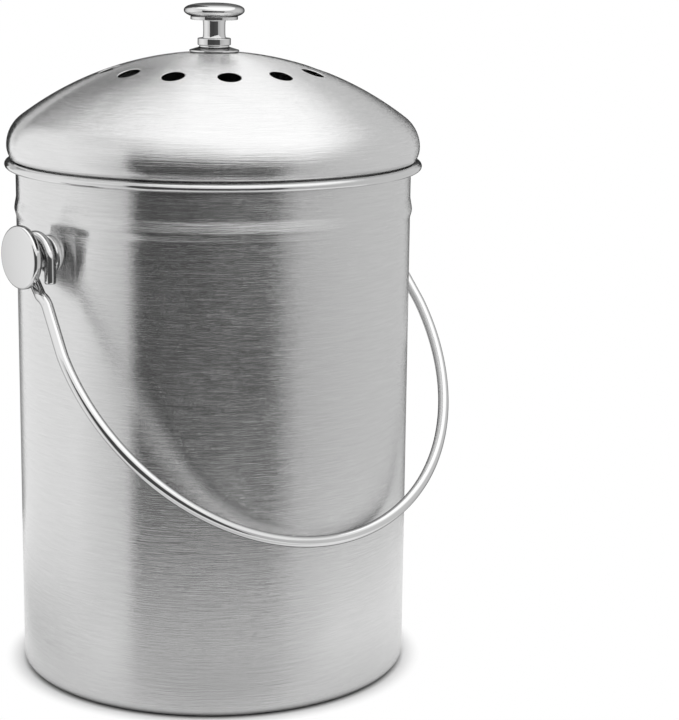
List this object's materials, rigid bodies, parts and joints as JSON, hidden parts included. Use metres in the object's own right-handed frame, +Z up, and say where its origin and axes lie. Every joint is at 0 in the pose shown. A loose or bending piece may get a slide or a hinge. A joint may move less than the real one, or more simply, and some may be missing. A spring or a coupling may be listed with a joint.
{
  "type": "compost bin with lift-off lid",
  "caption": "Round steel kitchen compost bin with rolled rim, swinging wire bail on side posts, and a vented domed lift-off lid with knob and filters inside.",
  "frame": {"origin": "centre of the base, on the surface the bin stands on", "axes": "+Z up along the bin's axis; X along the bail's hinge line through both posts; the bail hangs at the -Y side"},
  "size_m": [0.2026, 0.1797, 0.2893],
  "materials": {
    "bin_steel": "brushed round the bin",
    "lid_steel": "spun and brushed in circles",
    "pan_steel": "brushed in circles",
    "polished_fittings": "mirror polish",
    "bail_wire": "bright drawn wire",
    "fasteners": "plain machined",
    "filter_foam": "fine open foam",
    "filter_charcoal": "charcoal felt"
  },
  "bodies": {
    "bin": {"bin_body": "bin_steel", "left_post_flange": "polished_fittings", "left_post_stem": "polished_fittings", "left_post_plate": "polished_fittings", "left_post_cap": "polished_fittings", "left_post_washer": "fasteners", "left_post_screw": "fasteners", "right_post_flange": "polished_fittings", "right_post_stem": "polished_fittings", "right_post_plate": "polished_fittings", "right_post_cap": "polished_fittings", "right_post_washer": "fasteners", "right_post_screw": "fasteners"},
    "bail": {"bail_handle": "bail_wire"},
    "lid": {"lid_dome": "lid_steel", "lid_pan": "pan_steel", "filter_foam": "filter_foam", "filter_charcoal": "filter_charcoal", "knob_flange": "polished_fittings", "knob_stem": "polished_fittings", "knob_plate": "polished_fittings", "knob_cap": "polished_fittings", "knob_washer": "fasteners", "knob_screw": "fasteners"}
  },
  "joints": [
    {"name": "bail_swing", "type": "hinge", "parent": "bin", "child": "bail", "pos_m": [0, 0, 0.1894], "axis": [-1, 0, 0], "range_deg": [0, 285.9]},
    {"name": "lid_lift", "type": "slide", "parent": "bin", "child": "lid", "axis": [0, 0, 1], "range_m": [0, 0.12]}
  ]
}
